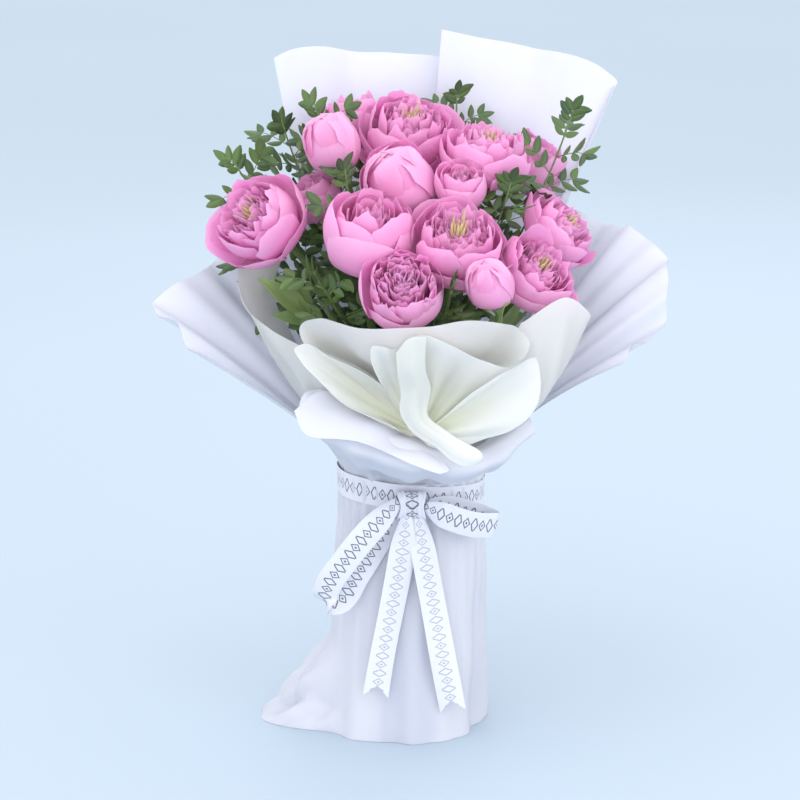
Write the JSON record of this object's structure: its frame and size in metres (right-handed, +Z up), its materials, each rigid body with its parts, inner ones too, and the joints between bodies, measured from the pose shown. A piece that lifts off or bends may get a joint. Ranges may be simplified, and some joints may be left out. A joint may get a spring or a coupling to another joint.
{
  "type": "wrapped bunch of peonies",
  "caption": "Hand-tied bunch of pink peonies with greenery, in pleated translucent wrapping with a stem skirt and a satin ribbon; it stands on its foot.",
  "frame": {"origin": "on the surface that the bunch stands on, under the middle of its overall box", "axes": "+Z up along the stems to the heads, -Y towards the front, where the ribbon's knot is, +X to the right seen from the front"},
  "size_m": [0.4874, 0.3537, 0.655],
  "materials": {
    "petals": "soft satin petal",
    "stems": "fresh green stem",
    "leaves": "matt dark leaf",
    "pale_leaves": "matt pale leaf",
    "white_wrap": "frosted translucent non-woven sheet",
    "ivory_wrap": "frosted translucent non-woven sheet",
    "ribbon": "white satin with small dark printed marks",
    "twine": "rough natural twine"
  },
  "bodies": {
    "root": {"back_sheet_left": "white_wrap", "back_sheet_right": "white_wrap", "collar_fold_left": "ivory_wrap", "collar_fold_right": "ivory_wrap", "collar_sheet": "ivory_wrap", "front_sheet": "white_wrap", "greens_01": "leaves", "greens_02": "leaves", "greens_03": "leaves", "greens_04": "leaves", "greens_05": "leaves", "greens_06": "leaves", "greens_07": "leaves", "greens_08": "leaves", "greens_09": "leaves", "greens_10": "leaves", "peony_01_bloom": "petals", "peony_01_stem": "stems", "peony_02_bloom": "petals", "peony_02_stem": "stems", "peony_03_bloom": "petals", "peony_03_stem": "stems", "peony_04_bloom": "petals", "peony_04_stem": "stems", "peony_05_bloom": "petals", "peony_05_stem": "stems", "peony_06_bloom": "petals", "peony_06_stem": "stems", "peony_07_bloom": "petals", "peony_07_stem": "stems", "peony_08_bloom": "petals", "peony_08_stem": "stems", "peony_09_bloom": "petals", "peony_09_stem": "stems", "peony_10_bloom": "petals", "peony_10_stem": "stems", "peony_11_bloom": "petals", "peony_11_stem": "stems", "peony_12_bloom": "petals", "peony_12_stem": "stems", "peony_13_bloom": "petals", "peony_13_stem": "stems", "peony_14_bloom": "petals", "peony_14_stem": "stems", "peony_15_bloom": "petals", "peony_15_stem": "stems", "peony_leaf_01": "pale_leaves", "peony_leaf_02": "pale_leaves", "ribbon_band": "ribbon", "ribbon_knot": "ribbon", "ribbon_loop_left": "ribbon", "ribbon_loop_right": "ribbon", "ribbon_tail_left": "ribbon", "ribbon_tail_right": "ribbon", "stem_skirt": "white_wrap", "stem_twine": "twine", "wing_sheet_left": "white_wrap", "wing_sheet_right": "white_wrap"}
  },
  "joints": []
}
